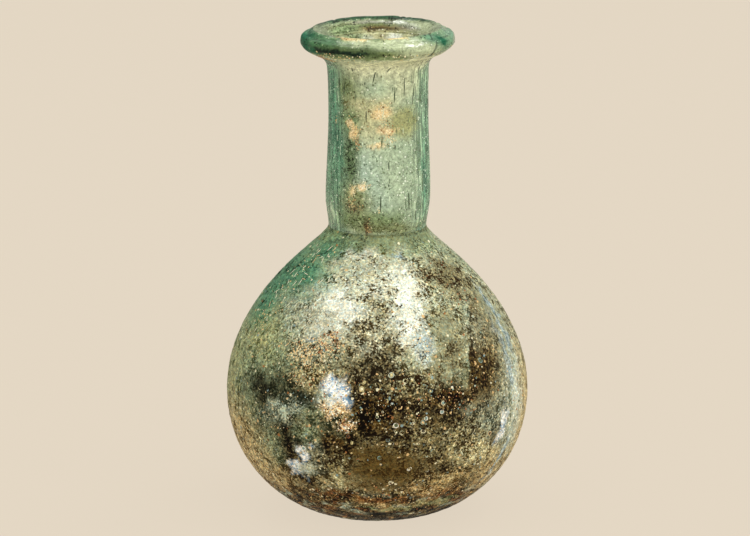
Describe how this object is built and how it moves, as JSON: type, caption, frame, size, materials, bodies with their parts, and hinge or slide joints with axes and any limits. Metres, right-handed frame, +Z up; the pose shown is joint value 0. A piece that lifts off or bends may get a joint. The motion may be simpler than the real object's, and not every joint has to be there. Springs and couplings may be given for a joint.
{
  "type": "glass perfume flask",
  "caption": "Hollow round-bellied glass flask with a tubular neck pinched at the shoulder and a thick rolled rim.",
  "frame": {"origin": "centre of the foot, on the surface that the flask stands on", "axes": "+Z up along the neck; -Y towards the side that the picture shows, which is the only side seen"},
  "size_m": [0.062, 0.062, 0.1013],
  "materials": {
    "aqua_glass": "pale blue-green free-blown glass; clear at the neck and rim, pitted and clouded with silvery and brown weathering on the belly, with burial soil in places"
  },
  "bodies": {
    "root": {"glass_flask": "aqua_glass"}
  },
  "joints": []
}
